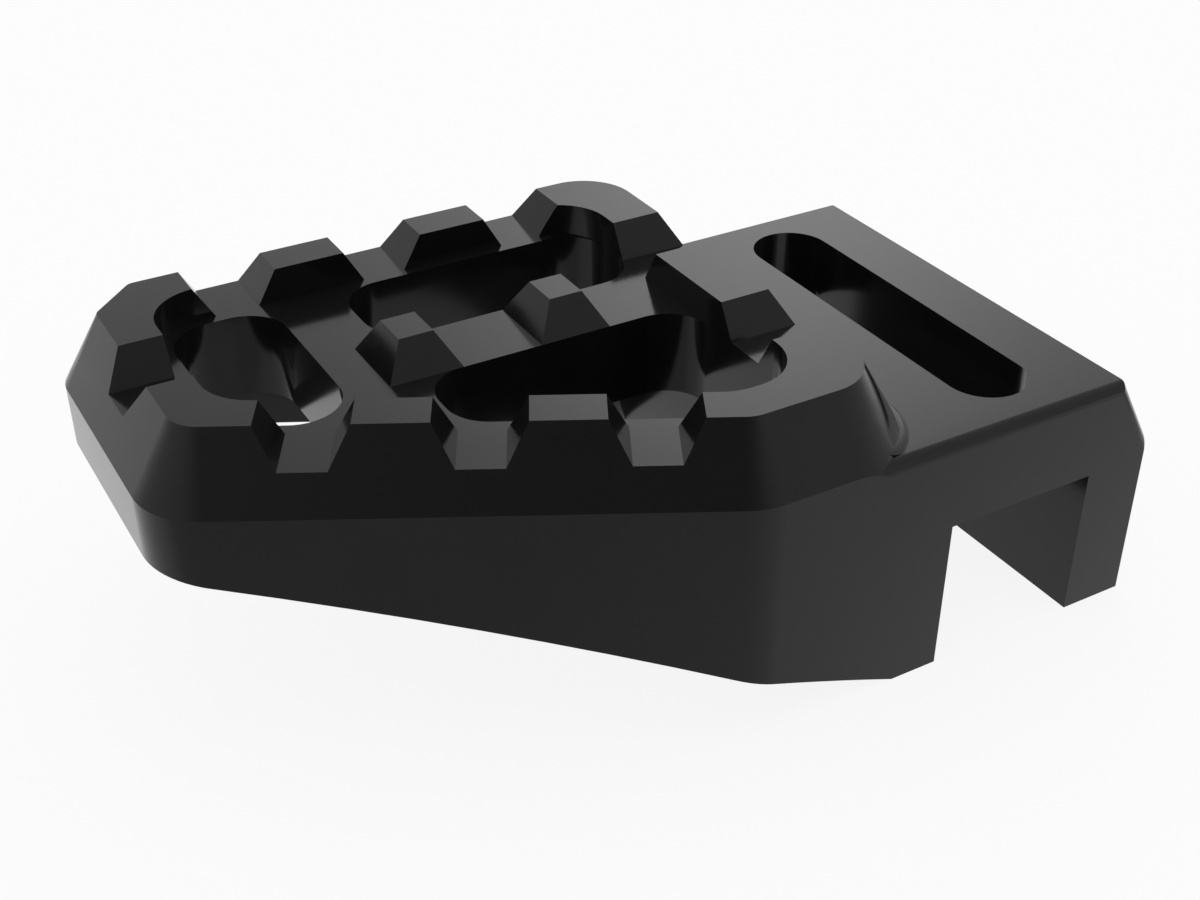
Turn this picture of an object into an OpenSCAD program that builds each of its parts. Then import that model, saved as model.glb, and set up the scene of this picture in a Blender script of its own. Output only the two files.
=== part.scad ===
// Brake pedal extension: a toothed foot plate and a slotted clamp block, milled as one piece.
// Origin: middle of the screw slot, on the ceiling of the channel that straddles the pedal.
// X runs from the plate to the block, Y away from the rider's heel, Z up.

/* [Foot plate] */
// Height of the tooth tops above the channel ceiling
plate_top = 11.7; // [10.8:0.1:12.8]
// Left edge of the tooth tops
plate_left = -52.6; // [-55:0.1:-51.8]
// Right edge of the tooth tops
plate_right = -11.2; // [-11.4:0.1:-10.9]
// Back edge of the tooth tops
plate_back = 22.05; // [21.4:0.05:24.5]
// Front edge of the tooth tops, beside the clamp block
plate_front = -14.45; // [-14.9:0.05:-14.2]
// Distance of the slanted front edge from the origin
slant_distance = 22.85; // [22.6:0.05:23.2]
// Angle of the slanted front edge to X
slant_angle = 28; // [27:0.5:29]
// Chamfer at the back left corner
corner_chamfer = 3.2; // [2.4:0.1:4]
// Radius of the chamfer's own corners
chamfer_corner_r = 0.8; // [0.4:0.1:1.2]
// Radius of the right corners at the tooth tops
right_corner_r = 4; // [3.2:0.1:4.8]
// Radius of the left and middle front corners at the tooth tops
front_corner_r = 2.4; // [1.6:0.1:2.8]
// Height of the bevel that runs round the plate
bevel_h = 5; // [4:0.1:5.6]
// Angle of the bevel, of the channels' walls and of the teeth's flanks
flank_angle = 60; // [58:0.5:62]

/* [Toothed deck] */
// Depth of the deck and of the channels below the tooth tops
deck_depth = 2.5; // [2:0.1:2.8]
// Width of the rim round the deck
rim_w = 3; // [2.7:0.1:3.3]
// Width of the rim at the back
rim_back_w = 3; // [2.7:0.1:3.3]
// Width of the rim at the right
rim_right_w = 3.9; // [3.7:0.1:4.2]
// Corner radius of the deck
deck_corner_r = 4; // [3.2:0.1:4.4]
// Floor width of the channels through the back, left and right rims
channel_floor = 3.2; // [2.8:0.1:3.5]
// Floor width of the notches through the slanted front rim
notch_floor = 3.1; // [2.8:0.1:3.5]
// Middle channel through the back rim
back_channel_x = -31.5; // [-31.9:0.1:-31.1]
// Spacing of the channels through the back rim
back_pitch = 11.3; // [11:0.1:11.5]
// Back one of the channels that run sideways
side_channel_y = 10.6; // [10.3:0.1:10.9]
// Spacing of the channels that run sideways
side_pitch = 14.6; // [14.2:0.1:15]
// Middle notch, measured along the slanted edge from the foot of the origin's perpendicular
notch_along = -29; // [-29.4:0.1:-28.6]
// Spacing of the notches
notch_pitch = 10.8; // [10.4:0.1:11.1]
// Left one of the two teeth on the ridge, from the middle of its top to the ridge's left end
ridge_tooth_in = 0.65; // [0.45:0.05:0.95]
// Length of a ridge tooth's top
ridge_tooth_top = 2.5; // [2.1:0.1:2.9]

/* [Pockets] */
// Corner radius of the pockets
pocket_r = 3.2; // [2.4:0.1:3.6]
// Ledge between the rim and a pocket, at the left and front
ledge = 1; // [0.8:0.1:1.3]
// Ledge between the rim and a pocket, at the back
ledge_back = 0.8; // [0.6:0.1:1]
// Right side of the left pocket
left_pocket_end = -40.65; // [-41.25:0.1:-40.35]
// Web between the left pocket and the other two
web_w = 4.9; // [4.4:0.1:5.3]
// Front side of the ridge between the middle pockets
ridge_front = 3.85; // [3.65:0.05:4.15]
// Width of the ridge
ridge_w = 5.9; // [5.6:0.1:6.2]

/* [Underside] */
// Thickness of the deck plate, from the tooth tops down
deck_thickness = 8.8; // [8:0.1:9.6]
// Thickness of the skirt round the hollow underside
skirt_t = 4.8; // [4:0.1:5.1]
// Corner radius of the hollow
hollow_r = 3.2; // [2.4:0.1:4]
// Height of the skirt's lower edge at the left wall
skirt_left_z = 2.25; // [1.6:0.05:2.6]
// Radius of the curve along the skirt's lower edge
skirt_curve_r = 269; // [200:1:360]
// Width of the left leg's flat foot
foot_w = 3.8; // [3.2:0.1:4.4]

/* [Clamp block] */
// Width of the channel that straddles the pedal
channel_w = 12.3; // [11.5:0.1:12.8]
// Middle of that channel, from the slot's middle
channel_offset = -0.65; // [-0.85:0.1:-0.45]
// Thickness of the legs
leg_t = 5.2; // [4.8:0.1:5.6]
// Height of the legs below the channel ceiling
leg_h = 11.7; // [10.4:0.1:12.8]
// Thickness of the bridge over the channel
bridge_t = 6.8; // [6.4:0.05:7.2]
// Wall between the slot's back end and the block's back
back_wall = 2.75; // [2.2:0.05:3.4]
// Width of the chamfer along the block's right side
side_chamfer_w = 2.85; // [2.4:0.05:3.4]
// Height of that chamfer
side_chamfer_h = 4.8; // [4.2:0.05:5.4]
// Radius of the front and back edges of the block's top and chamfer
edge_r = 0.85; // [0.5:0.05:1.1]
// Radius of the fillet between the plate's bevel and the block
root_r = 0.9; // [0.6:0.1:1.3]

/* [Screw slot] */
// Width of the slot, for M6 screws
slot_w = 6.1; // [5.5:0.1:6.6]
// Length of the slot, end to end
slot_l = 28.85; // [24:0.05:29.2]

/* [Hidden] */
$fn = 96;
// How far a cut runs past what it cuts, and how far a rounding stands past the sides it joins
over = 1;
hair = 0.001;
far = 200;
flank_tan = tan(flank_angle);
bevel_run = bevel_h / flank_tan;
deck_z = plate_top - deck_depth;
flank_run = deck_depth / flank_tan;
bevel_z = plate_top - bevel_h;
wall_front = plate_front - bevel_run;
slant_n = [-sin(slant_angle), -cos(slant_angle)];
slant_u = [cos(slant_angle), -sin(slant_angle)];

// Y of a line parallel to the slanted edge, at a distance from the origin, at a given X
function slant_y(x, distance) = (distance - slant_n[0] * x) / slant_n[1];
// X of the same line at a given Y
function slant_x(y, distance) = (distance - slant_n[1] * y) / slant_n[0];

// Corners of the tooth tops' outline, anticlockwise, each with its radius
plate_outline = [
    [plate_left, slant_y(plate_left, slant_distance), front_corner_r],
    [slant_x(plate_front, slant_distance), plate_front, front_corner_r],
    [plate_right, plate_front, right_corner_r],
    [plate_right, plate_back, right_corner_r],
    [plate_left + corner_chamfer, plate_back, chamfer_corner_r],
    [plate_left, plate_back - corner_chamfer, chamfer_corner_r]
];

deck_left = plate_left + rim_w;
deck_back = plate_back - rim_back_w;
deck_right = plate_right - rim_right_w;
deck_front = plate_front + rim_w;
deck_slant = slant_distance - rim_w;
deck_outline = [
    [deck_left, slant_y(deck_left, deck_slant), deck_corner_r],
    [slant_x(deck_front, deck_slant), deck_front, deck_corner_r],
    [deck_right, deck_front, deck_corner_r],
    [deck_right, deck_back, deck_corner_r],
    [deck_left, deck_back, deck_corner_r]
];

pocket_left = deck_left + ledge;
pocket_back = deck_back - ledge_back;
pocket_slant = deck_slant - ledge;
pocket_front = deck_front + ledge;
middle_left = left_pocket_end + web_w;
ridge_back = ridge_front + ridge_w;
left_pocket = [
    [pocket_left, slant_y(pocket_left, pocket_slant), pocket_r],
    [left_pocket_end, slant_y(left_pocket_end, pocket_slant), pocket_r],
    [left_pocket_end, pocket_back, pocket_r],
    [pocket_left, pocket_back, pocket_r]
];
back_pocket = [
    [middle_left, ridge_back, pocket_r],
    [deck_right, ridge_back, pocket_r],
    [deck_right, pocket_back, pocket_r],
    [middle_left, pocket_back, pocket_r]
];
front_pocket = [
    [middle_left, slant_y(middle_left, pocket_slant), pocket_r],
    [slant_x(pocket_front, pocket_slant), pocket_front, pocket_r],
    [deck_right, pocket_front, pocket_r],
    [deck_right, ridge_front, pocket_r],
    [middle_left, ridge_front, pocket_r]
];

channel_left = channel_offset - channel_w / 2;
channel_right = channel_offset + channel_w / 2;
leg_left = channel_left - leg_t;
block_left = plate_right - right_corner_r;
leg_right = channel_right + leg_t;
block_back = slot_l / 2 + back_wall;

hollow_z = plate_top - deck_thickness;
hollow_left = plate_left - bevel_run + skirt_t;
hollow_back = plate_back + bevel_run - skirt_t;
hollow_front = wall_front + skirt_t;
hollow_slant = slant_distance + bevel_run - skirt_t;
hollow = [
    [hollow_left, slant_y(hollow_left, hollow_slant), hollow_r],
    [slant_x(hollow_front, hollow_slant), hollow_front, hollow_r],
    [leg_left, hollow_front, hollow_r],
    [leg_left, hollow_back, hollow_r],
    [hollow_left, hollow_back, hollow_r]
];

// Circle of the skirt's lower edge, through the left wall's foot and the left leg's foot
curve_start = [plate_left - bevel_run, skirt_left_z];
curve_end = [channel_left - foot_w, -leg_h];
curve_chord = curve_end - curve_start;
curve_drop = sqrt(pow(skirt_curve_r, 2) - pow(norm(curve_chord) / 2, 2));
curve_dir = curve_chord / norm(curve_chord);
curve_centre = (curve_start + curve_end) / 2 + curve_drop * [curve_dir[1], -curve_dir[0]];

// Outward normal of the side that starts at corner i of an anticlockwise outline
function side_normal(o, i) = let (a = o[i], b = o[(i + 1) % len(o)], d = [b[0] - a[0], b[1] - a[1]])
    [d[1], -d[0]] / norm(d);
function before(o, i) = (i + len(o) - 1) % len(o);
// Step from a corner to where its two sides meet once both have moved out by 1
function miter(o, i) = let (n = side_normal(o, before(o, i)), m = side_normal(o, i)) (n + m) / (1 + n * m);
function corner(o, i) = [o[i][0], o[i][1]];
function corner_centre(o, i) = corner(o, i) - o[i][2] * miter(o, i);

// Straight-sided block on an outline, cut back at each corner to the centre of its rounding
module straight_sides(o, grow, low, high) {
    outline = [for (i = [0 : len(o) - 1]) for (k = [0 : 2])
        let (c = corner_centre(o, i), r = o[i][2] + grow)
        k == 1 ? c : c + r * side_normal(o, k == 0 ? before(o, i) : i)];
    translate([0, 0, low]) linear_extrude(high - low) polygon(outline);
}

// Prism with rounded vertical corners
module rounded_prism(o, low, high) {
    straight_sides(o, 0, low, high);
    for (i = [0 : len(o) - 1]) {
        c = corner_centre(o, i);
        translate([c[0], c[1], low]) cylinder(r = o[i][2] + hair, h = high - low);
    }
}

// Wedge that cuts the bevel along one side
module bevel_cut(o, i) {
    n = side_normal(o, i);
    translate([o[i][0], o[i][1], bevel_z]) rotate([0, 0, atan2(n[1], n[0])]) rotate([90, 0, 0])
        linear_extrude(2 * far, center = true)
            polygon([[-2 * over, bevel_h + 2 * over * flank_tan], [bevel_run + over, -over * flank_tan],
                [far, -over * flank_tan], [far, bevel_h + 2 * over * flank_tan]]);
}

// Solid foot plate with its bevel, before anything is cut from it; it is over long at its top and foot
module plate_blank() {
    low = -leg_h - over;
    high = plate_top + over;
    difference() {
        straight_sides(plate_outline, bevel_run, low, high);
        for (i = [0 : len(plate_outline) - 1]) bevel_cut(plate_outline, i);
    }
    for (i = [0 : len(plate_outline) - 1]) {
        c = corner_centre(plate_outline, i);
        r = plate_outline[i][2] + hair;
        top_r = r - over / flank_tan;
        translate([c[0], c[1], 0]) rotate_extrude()
            polygon([[0, low], [r + bevel_run, low], [r + bevel_run, bevel_z], [top_r, high], [0, high]]);
    }
}

// Channel with sloped walls, along its own X from 0 to length, with its floor at the deck
module channel_cut(floor_w, length) {
    top = deck_depth + 2 * over;
    translate([0, 0, deck_z]) rotate([90, 0, 90]) linear_extrude(length)
        polygon([[-floor_w / 2, 0], [floor_w / 2, 0], [floor_w / 2 + top / flank_tan, top],
            [-floor_w / 2 - top / flank_tan, top]]);
}

// Every channel and notch through the rim
module rim_channels() {
    inner = rim_right_w + over;
    for (k = [-1 : 1]) translate([back_channel_x + k * back_pitch, deck_back - over, 0])
        rotate([0, 0, 90]) channel_cut(channel_floor, 3 * rim_w + bevel_run);
    translate([deck_left + over, side_channel_y, 0]) rotate([0, 0, 180])
        channel_cut(channel_floor, 3 * rim_w + bevel_run);
    for (k = [0, 1]) translate([deck_right - over, side_channel_y - k * side_pitch, 0])
        channel_cut(channel_floor, inner + 2 * bevel_run);
    for (k = [-1 : 1]) {
        foot = slant_n * (deck_slant - over) + slant_u * (notch_along + k * notch_pitch);
        translate([foot[0], foot[1], 0]) rotate([0, 0, atan2(slant_n[1], slant_n[0])])
            channel_cut(notch_floor, 3 * rim_w + bevel_run);
    }
}

// One tooth on the ridge, sloped on all four sides
module ridge_tooth() {
    half_x = ridge_tooth_top / 2;
    half_y = ridge_w / 2 - flank_run;
    intersection() {
        rotate([90, 0, 0]) linear_extrude(2 * ridge_w, center = true)
            polygon([[-half_x - flank_run, 0], [half_x + flank_run, 0], [half_x, deck_depth], [-half_x, deck_depth]]);
        rotate([90, 0, 90]) linear_extrude(4 * ridge_tooth_top + 4 * flank_run, center = true)
            polygon([[-half_y - flank_run, 0], [half_y + flank_run, 0], [half_y, deck_depth], [-half_y, deck_depth]]);
    }
}

// Quarter-round waste along a top edge of the block, its own X along the edge
module edge_waste(length) {
    rotate([90, 0, 90]) difference() {
        translate([-over, -edge_r, -over]) cube([edge_r + over, edge_r + over, length + 2 * over]);
        translate([edge_r, -edge_r, -2 * over]) cylinder(r = edge_r, h = length + 4 * over);
    }
}

// Section of the hollow fillet where the bevel meets the block's top, from a distance off the corner's axis
module root_section(at) {
    half_turn = flank_angle / 2;
    reach = root_r * tan(half_turn);
    difference() {
        polygon([[at - over, -edge_r / 2], [at + reach, -edge_r / 2], [at + reach, 0],
            [at - reach * cos(flank_angle), reach * sin(flank_angle)],
            [at - reach * cos(flank_angle) - over, reach * sin(flank_angle)]]);
        translate([at + reach, root_r]) circle(r = root_r);
    }
}

// The fillet itself: straight along the plate's right side, then round its front corner
module root_fillet() {
    c = corner_centre(plate_outline, 2);
    at = right_corner_r + (plate_top - bridge_t) / flank_tan;
    translate([c[0], c[1], bridge_t]) rotate([90, 0, 180]) linear_extrude(block_back - c[1])
        mirror([1, 0, 0]) root_section(at);
    translate([c[0], c[1], bridge_t]) rotate([0, 0, -90]) rotate_extrude(angle = 90) root_section(at);
}

// Foot of the bevel round the front right corner, run on down beside the block's rounded edge
module corner_foot() {
    c = corner_centre(plate_outline, 2);
    foot_z = bridge_t - 2 * edge_r;
    foot_r = right_corner_r + (plate_top - foot_z) / flank_tan;
    intersection() {
        translate([c[0], c[1], 0]) rotate_extrude()
            polygon([[0, foot_z], [foot_r, foot_z], [foot_r - (bevel_z - foot_z) / flank_tan, bevel_z], [0, bevel_z]]);
        translate([c[0], wall_front, foot_z - over]) cube([foot_r + over, foot_r + over, bevel_z]);
    }
}

// Waste of the roundings at one end of the block, along its top and then down its chamfer
module end_waste() {
    slope = atan2(side_chamfer_h, side_chamfer_w);
    translate([block_left, 0, bridge_t]) edge_waste(leg_right - block_left);
    translate([leg_right - side_chamfer_w, 0, bridge_t]) rotate([0, slope, 0])
        edge_waste(norm([side_chamfer_w, side_chamfer_h]) + 2 * edge_r);
}

// Clamp block: a bridge on two legs, with one long chamfer, from the plate's straight front wall on
module block() {
    difference() {
        union() {
            translate([0, block_back, 0]) rotate([90, 0, 0]) linear_extrude(block_back - wall_front)
                polygon([[block_left, -leg_h - over], [leg_right, -leg_h - over],
                    [leg_right, bridge_t - side_chamfer_h], [leg_right - side_chamfer_w, bridge_t],
                    [block_left, bridge_t]]);
            root_fillet();
        }
        translate([0, wall_front, 0]) end_waste();
        translate([0, block_back, 0]) mirror([0, 1, 0]) end_waste();
    }
}

// Slot through the bridge, with round ends
module screw_slot() {
    reach = slot_l / 2 - slot_w / 2;
    translate([-slot_w / 2, -reach, -over]) cube([slot_w, 2 * reach, bridge_t + 2 * over]);
    for (s = [-1, 1]) translate([0, s * reach, -over]) cylinder(d = slot_w, h = bridge_t + 2 * over);
}

// The whole extension, one piece of aluminium
module pedal_plate() {
    color([0.05, 0.05, 0.055]) {
        difference() {
            union() {
                plate_blank();
                corner_foot();
                block();
            }
            translate([-far, -far, plate_top]) cube([2 * far, 2 * far, far]);
            translate([-far, -far, -leg_h - far]) cube([2 * far, 2 * far, far]);
            rounded_prism(deck_outline, deck_z, plate_top + 2 * over);
            rim_channels();
            for (p = [left_pocket, back_pocket, front_pocket]) rounded_prism(p, hollow_z - over, deck_z + over);
            rounded_prism(hollow, -leg_h - 2 * over, hollow_z);
            translate([channel_left, wall_front - over, -leg_h - 2 * over])
                cube([channel_w, block_back - wall_front + 2 * over, leg_h + 2 * over]);
            screw_slot();
            translate([curve_centre[0], 0, curve_centre[1]]) rotate([90, 0, 0])
                cylinder(r = skirt_curve_r, h = far, center = true, $fn = 720);
        }
        for (k = [0, 1])
            translate([middle_left + ridge_tooth_in + k * back_pitch, ridge_front + ridge_w / 2, deck_z]) ridge_tooth();
    }
}

pedal_plate();
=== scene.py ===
# %% [markdown]
# A brake pedal extension is milled from one billet of aluminium and anodised black. It is a toothed foot
# plate with three pockets, and a slotted block that straddles the pedal. The imported model already has the
# true shape, so the scene loads it first and keeps the size of its box, which it prints.

# %% Load the frame
import bmesh
import bpy
import math
import numpy as np
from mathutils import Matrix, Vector


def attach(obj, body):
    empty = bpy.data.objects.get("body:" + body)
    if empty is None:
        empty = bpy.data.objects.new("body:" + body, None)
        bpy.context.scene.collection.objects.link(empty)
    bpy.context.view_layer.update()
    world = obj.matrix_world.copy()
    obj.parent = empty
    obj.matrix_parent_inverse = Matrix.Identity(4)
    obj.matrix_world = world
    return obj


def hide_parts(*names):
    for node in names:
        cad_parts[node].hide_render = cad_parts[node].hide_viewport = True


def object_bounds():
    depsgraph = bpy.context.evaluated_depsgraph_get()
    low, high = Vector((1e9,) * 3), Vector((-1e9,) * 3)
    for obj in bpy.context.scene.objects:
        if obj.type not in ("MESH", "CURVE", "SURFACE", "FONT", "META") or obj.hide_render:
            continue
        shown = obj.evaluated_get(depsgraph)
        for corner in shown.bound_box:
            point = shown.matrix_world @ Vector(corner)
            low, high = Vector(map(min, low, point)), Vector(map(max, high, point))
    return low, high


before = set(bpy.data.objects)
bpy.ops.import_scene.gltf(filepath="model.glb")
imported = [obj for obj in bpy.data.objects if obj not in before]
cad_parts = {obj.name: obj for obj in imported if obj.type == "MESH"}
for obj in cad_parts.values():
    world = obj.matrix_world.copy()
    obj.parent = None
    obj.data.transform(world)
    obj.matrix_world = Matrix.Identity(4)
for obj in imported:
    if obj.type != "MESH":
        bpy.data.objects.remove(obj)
cad_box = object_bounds()
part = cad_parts["pedal_plate"]
MM = 0.001
print("CAD box in mm:", [[round(c / MM, 2) for c in corner] for corner in cad_box])

# %% [markdown]
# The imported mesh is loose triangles, one patch for each machined face, and a few patches meet over steps of a
# thousandth of a millimetre that no cutter leaves. So a copy of the mesh is merged into one skin. Edges where
# it turns by more than CREASE are cutter edges and stay crisp, and all others are shaded as one surface. The
# weighted normals keep the large faces flat to the eye, so that a corner rounding runs into them without a
# seam.

# %% One skin from the CAD triangles
WELD = 0.003 * MM
CREASE = math.radians(17)
LARGE_FACE_WEIGHT = 50


def merged(cad, name):
    """A copy of the mesh whose points nearer than WELD are one, smooth but for edges above CREASE."""
    points = np.empty(len(cad.data.vertices) * 3)
    cad.data.vertices.foreach_get("co", points)
    corners = np.empty(len(cad.data.loops), dtype=np.int64)
    cad.data.loops.foreach_get("vertex_index", corners)
    mesh = bpy.data.meshes.new(name)
    mesh.from_pydata(points.reshape(-1, 3), [], corners.reshape(-1, 3))
    skin = bmesh.new()
    skin.from_mesh(mesh)
    bmesh.ops.remove_doubles(skin, verts=skin.verts, dist=WELD)
    bmesh.ops.dissolve_degenerate(skin, edges=skin.edges, dist=WELD)
    skin.to_mesh(mesh)
    skin.free()
    mesh.polygons.foreach_set("use_smooth", np.ones(len(mesh.polygons), dtype=bool))
    mesh.set_sharp_from_angle(angle=CREASE)
    made = bpy.data.objects.new(name, mesh)
    bpy.context.scene.collection.objects.link(made)
    print(name, len(cad.data.vertices), "points merged to", len(mesh.vertices))
    print(name, len(mesh.polygons), "faces")
    return made


plate = merged(part, "pedal_plate_milled")
level = plate.modifiers.new("level_faces", "WEIGHTED_NORMAL")
level.mode = "FACE_AREA"
level.weight = LARGE_FACE_WEIGHT
level.keep_sharp = True
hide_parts("pedal_plate")
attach(plate, "root")

# %% [markdown]
# The picture was taken with a 50 mm lens from close by, about 33 degrees above the part and 30 degrees round
# to its left. A camera looks along its own -Z, so tipping it up by 90 degrees less the pitch and then turning
# it about the vertical aims it.

# %% Camera
CAMERA_PLACE_MM = (-72.89, -84.46, 65.02)
CAMERA_PITCH = 32.85
CAMERA_TURN = 30.0
LENS = 50.0
SENSOR = 36.0
CLIP_START_MM = 5.0

camera_data = bpy.data.cameras.new("camera")
camera_data.lens = LENS
camera_data.sensor_width = SENSOR
camera_data.clip_start = CLIP_START_MM * MM
camera = bpy.data.objects.new("camera", camera_data)
bpy.context.scene.collection.objects.link(camera)
camera.location = Vector(CAMERA_PLACE_MM) * MM
camera.rotation_euler = (math.radians(90 - CAMERA_PITCH), 0, math.radians(-CAMERA_TURN))
bpy.context.scene.camera = camera
print("camera in mm:", tuple(round(c / MM, 2) for c in camera.location))

# %% [markdown]
# Colours are written as sRGB hex values, as a paint card gives them. Blender's shaders add light, so they
# want linear values, and one function turns the first into the second. A second function adds a node with its
# settings and links, so that each material reads as a short list of what feeds what.

# %% Colour and node helpers
WHITE = (1.0, 1.0, 1.0, 1.0)


def linear(hex_colour):
    """Linear RGBA of an sRGB hex colour: c / 12.92 below 0.04045, else ((c + 0.055) / 1.055) ** 2.4."""
    c = np.array([int(hex_colour[i : i + 2], 16) for i in (1, 3, 5)]) / 255
    rgb = np.where(c <= 0.04045, c / 12.92, ((c + 0.055) / 1.055) ** 2.4)
    return (*rgb.tolist(), 1.0)


def node(tree, kind, settings=None, **inputs):
    """Adds a node. settings sets its properties; each input is a value or another node's output socket.

    An input named _0, _1 or _2 is found by its number, and any other by its name, with _ for each space.
    """
    made = tree.nodes.new("ShaderNode" + kind)
    for key, value in (settings or {}).items():
        setattr(made, key, value)
    for key, value in inputs.items():
        socket = made.inputs[int(key[1:])] if key[0] == "_" else made.inputs[key.replace("_", " ")]
        if isinstance(value, bpy.types.NodeSocket):
            tree.links.new(value, socket)
        else:
            socket.default_value = value
    return made


def math_node(tree, operation, *values):
    """The output socket of a Math node that works on the values in turn."""
    inputs = {f"_{i}": value for i, value in enumerate(values)}
    return node(tree, "Math", {"operation": operation}, **inputs).outputs[0]


def empty_material(name):
    """A material with a bare node tree and its output node."""
    material = bpy.data.materials.new(name)
    material.use_nodes = True
    tree = material.node_tree
    tree.nodes.clear()
    return material, tree, tree.nodes.new("ShaderNodeOutputMaterial")


# %% [markdown]
# The part is milled from 6082 aluminium, tumbled and black anodised. The dyed oxide layer is a few hundredths
# of a millimetre thick and hides most of the metal: it gives back about 2% of the light straight on, nearly
# all of it at a glancing angle, and a little of its own black. So the shader is a little more than half
# metallic over a dark base. The layer follows the tumbled surface, whose fine pits are about 0.02 mm wide.
# They are drawn 0.12 mm wide, as finer ones wouldn't show, and only break up the gloss. Wider, weaker clouds
# of 4 mm stand for the slight unevenness that the dye bath leaves.

# %% Black anodised aluminium
PIT_MM = 0.12
PIT_DEPTH_MM = 0.002
PIT_STRENGTH = 0.12
PIT_DETAIL = 2.0
CLOUD_MM = 4.0
CLOUD_DETAIL = 3.0
NOISE_LOW = 0.3
NOISE_HIGH = 0.7
SATIN = 0.13
SATIN_SPREAD = 0.04
DYE_DARK = "#212122"
DYE_LIGHT = "#242425"
METAL_SHARE = 0.6
OXIDE_SPECULAR = 0.25


def anodised_aluminium():
    """Noise of one pit's size tilts the surface, wide noise tints the dye, and their mean moves the gloss."""
    material, tree, out = empty_material("black_anodised_milled_aluminium")
    place = node(tree, "TexCoord").outputs["Object"]
    pits = node(tree, "TexNoise", Vector=place, Scale=1 / (PIT_MM * MM), Detail=PIT_DETAIL).outputs["Fac"]
    clouds = node(tree, "TexNoise", Vector=place, Scale=1 / (CLOUD_MM * MM),
                  Detail=CLOUD_DETAIL).outputs["Fac"]
    mean = math_node(tree, "MULTIPLY_ADD", pits, 0.5, math_node(tree, "MULTIPLY", clouds, 0.5))
    satin = node(tree, "MapRange", Value=mean, From_Min=NOISE_LOW, From_Max=NOISE_HIGH,
                 To_Min=SATIN - SATIN_SPREAD / 2, To_Max=SATIN + SATIN_SPREAD / 2).outputs["Result"]
    dye = node(tree, "Mix", {"data_type": "RGBA"}, Factor=clouds, A=linear(DYE_DARK),
               B=linear(DYE_LIGHT)).outputs["Result"]
    relief = node(tree, "Bump", Strength=PIT_STRENGTH, Distance=PIT_DEPTH_MM * MM,
                  Height=pits).outputs["Normal"]
    shader = node(tree, "BsdfPrincipled", Base_Color=dye, Metallic=METAL_SHARE, Roughness=satin,
                  Specular_IOR_Level=OXIDE_SPECULAR, Normal=relief)
    tree.links.new(shader.outputs[0], out.inputs["Surface"])
    return material


black = anodised_aluminium()
for piece in (part, plate):
    piece.data.materials.clear()
    piece.data.materials.append(black)
print("pits of", PIT_MM, "mm, roughness", SATIN - SATIN_SPREAD / 2, "to", SATIN + SATIN_SPREAD / 2)

# %% [markdown]
# A product picture like this is shot on a white sweep. To the camera the sweep is almost pure white, with a
# light shadow under the part: an eighth of it is real paper, which the part shades, and the rest glows at a
# strength of 1. To the metal it is a glowing sheet, and its glow is painted light and shade. In front the
# sheet grows from a painted dim patch on the left, which stands in for the shade of the camera's stand, to
# painted bright light on the right, which stands in for a low lamp skimming it; this painted reflection lifts
# the block's front wall and legs. Behind the part it glows at a strength of at least 1.

# %% White sweep
SWEEP_HALF = 3.0
PAPER = "#f4f4f4"
PAPER_SHARE = 0.12
# Painted light for reflections only: the glow runs from painted shade on the left to painted lamp light on the
# right, between these X values.
PAINTED_SHADE_GLOW = 0.72
PAINTED_LAMP_GLOW = 1.2
PAINTED_LAMP_FROM_MM = -50.0
PAINTED_LAMP_TO_MM = 0.0
BACK_FROM_MM = -22.0
BACK_TO_MM = 5.0


def ramp(tree, value, start_mm, end_mm, low, high):
    """Grows smoothly from low to high while the value goes from start to end."""
    return node(tree, "MapRange", {"interpolation_type": "SMOOTHSTEP"}, Value=value, From_Min=start_mm * MM,
                From_Max=end_mm * MM, To_Min=low, To_Max=high).outputs["Result"]


def sweep_paper_and_painted_glow():
    """White with a light shadow for the camera; for reflections a painted glow, the larger of a painted side
    light ramp and a back ramp.
    """
    material, tree, out = empty_material("white_paper_sweep_painted_glow")
    rays = node(tree, "LightPath").outputs
    place = node(tree, "SeparateXYZ", _0=node(tree, "TexCoord").outputs["Object"]).outputs
    # Painted reflection: dim painted shade on the left, bright painted lamp light on the right.
    painted_side_light = ramp(tree, place["X"], PAINTED_LAMP_FROM_MM, PAINTED_LAMP_TO_MM, PAINTED_SHADE_GLOW, PAINTED_LAMP_GLOW)
    back = ramp(tree, place["Y"], BACK_FROM_MM, BACK_TO_MM, 0.0, 1.0)
    painted_glow = node(tree, "Emission", Color=WHITE, Strength=math_node(tree, "MAXIMUM", painted_side_light, back)).outputs[0]
    paper = node(tree, "BsdfDiffuse", Color=linear(PAPER)).outputs[0]
    white = node(tree, "Emission", Color=WHITE, Strength=1.0).outputs[0]
    for_camera = node(tree, "MixShader", _0=PAPER_SHARE, _1=white, _2=paper).outputs[0]
    seen = node(tree, "MixShader", _0=rays["Is Camera Ray"], _1=paper, _2=for_camera).outputs[0]
    mix = node(tree, "MixShader", _0=rays["Is Glossy Ray"], _1=seen, _2=painted_glow)
    tree.links.new(mix.outputs[0], out.inputs["Surface"])
    return material


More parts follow.
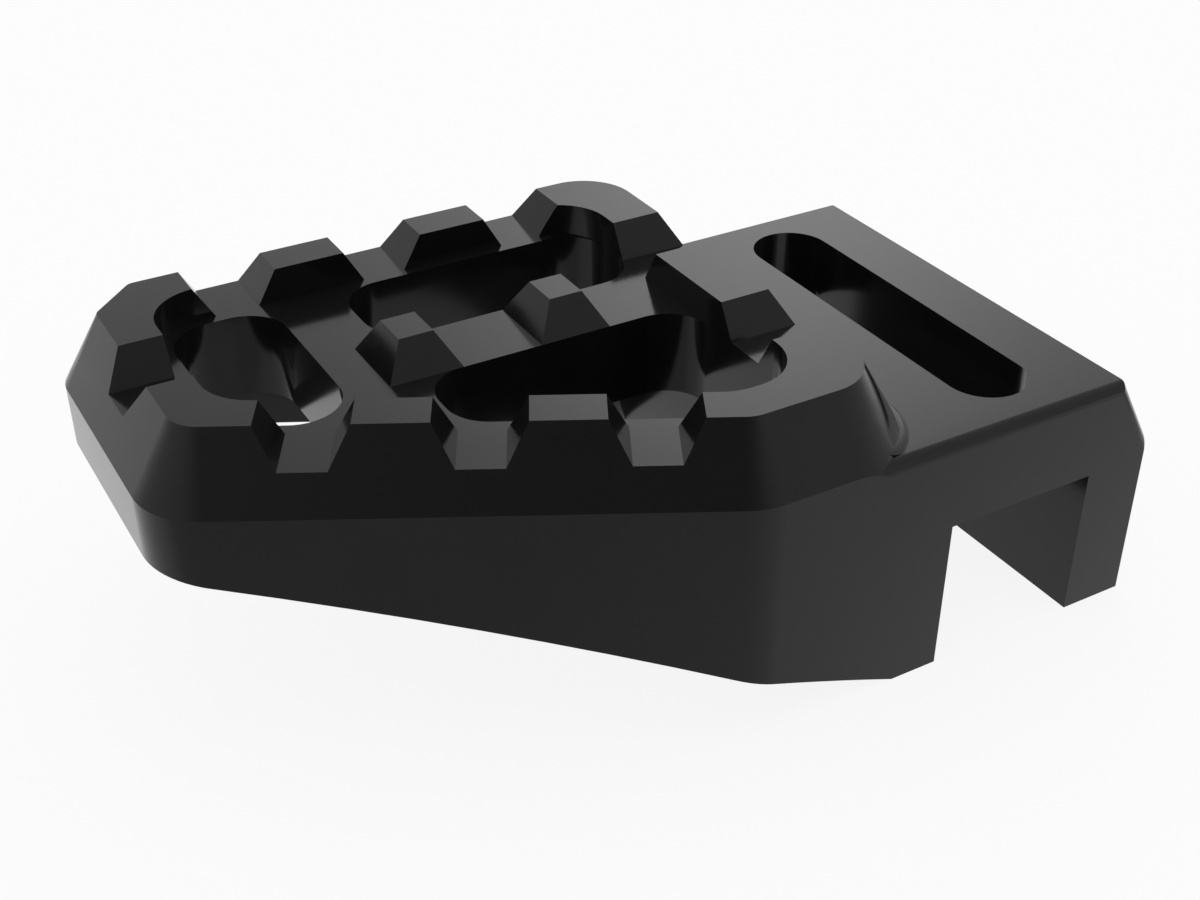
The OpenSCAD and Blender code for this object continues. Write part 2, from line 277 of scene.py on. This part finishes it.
bottom = cad_box[0].z
sweep_mesh = bpy.data.meshes.new("sweep")
sides = ((-1, -1), (1, -1), (1, 1), (-1, 1))
sweep_mesh.from_pydata([(x * SWEEP_HALF, y * SWEEP_HALF, bottom) for x, y in sides], [], [(0, 1, 2, 3)])
sweep = bpy.data.objects.new("sweep", sweep_mesh)
bpy.context.scene.collection.objects.link(sweep)
sweep.data.materials.append(sweep_paper_and_painted_glow())
print("sweep at", round(bottom / MM, 2), "mm")

# %% [markdown]
# The room is white all round at a strength of 1, and two soft lobes give the metal its modelling. A lobe is
# added light that falls off with the angle from its middle as a bell curve: gain times e to the power of
# (cosine - 1) / spread squared. One is a softbox behind the part on the right, which the level tops mirror,
# so they brighten towards the block. The other is negative: the dark side of the room, behind the camera,
# which the bevels mirror, and which parts them from the walls below. The camera itself sees plain white.

# %% Room and softbox
ROOM_GLOW = 1.0
LOBES = {
    "softbox": {"azimuth": 36.5, "elevation": 29, "spread": 7.0, "gain": 1.8},
    "dark side": {"azimuth": 203, "elevation": 28, "spread": 24.0, "gain": -0.82},
}


def lobe(tree, direction, azimuth, elevation, spread, gain):
    """Bell-shaped light round one direction; azimuth from +Y towards +X, all angles in degrees."""
    a, e = math.radians(azimuth), math.radians(elevation)
    aim = (math.sin(a) * math.cos(e), math.cos(a) * math.cos(e), math.sin(e))
    cosine = node(tree, "VectorMath", {"operation": "DOT_PRODUCT"}, _0=direction, _1=aim).outputs["Value"]
    fall = math_node(tree, "SUBTRACT", cosine, 1.0)
    power = math_node(tree, "DIVIDE", fall, math.radians(spread) ** 2)
    return math_node(tree, "MULTIPLY", math_node(tree, "EXPONENT", power), gain)


world = bpy.data.worlds.new("studio")
bpy.context.scene.world = world
world.use_nodes = True
tree = world.node_tree
tree.nodes.clear()
out = tree.nodes.new("ShaderNodeOutputWorld")
direction = node(tree, "TexCoord").outputs["Generated"]
room_light = ROOM_GLOW
for shape in LOBES.values():
    room_light = math_node(tree, "ADD", room_light, lobe(tree, direction, **shape))
room = node(tree, "Background", Color=WHITE, Strength=room_light).outputs[0]
backdrop = node(tree, "Background", Color=WHITE, Strength=1.0).outputs[0]
is_camera = node(tree, "LightPath").outputs["Is Camera Ray"]
mix = node(tree, "MixShader", _0=is_camera, _1=room, _2=backdrop)
tree.links.new(mix.outputs[0], out.inputs["Surface"])
bpy.context.scene.view_settings.view_transform = "Standard"
print("lobes:", ", ".join(LOBES))
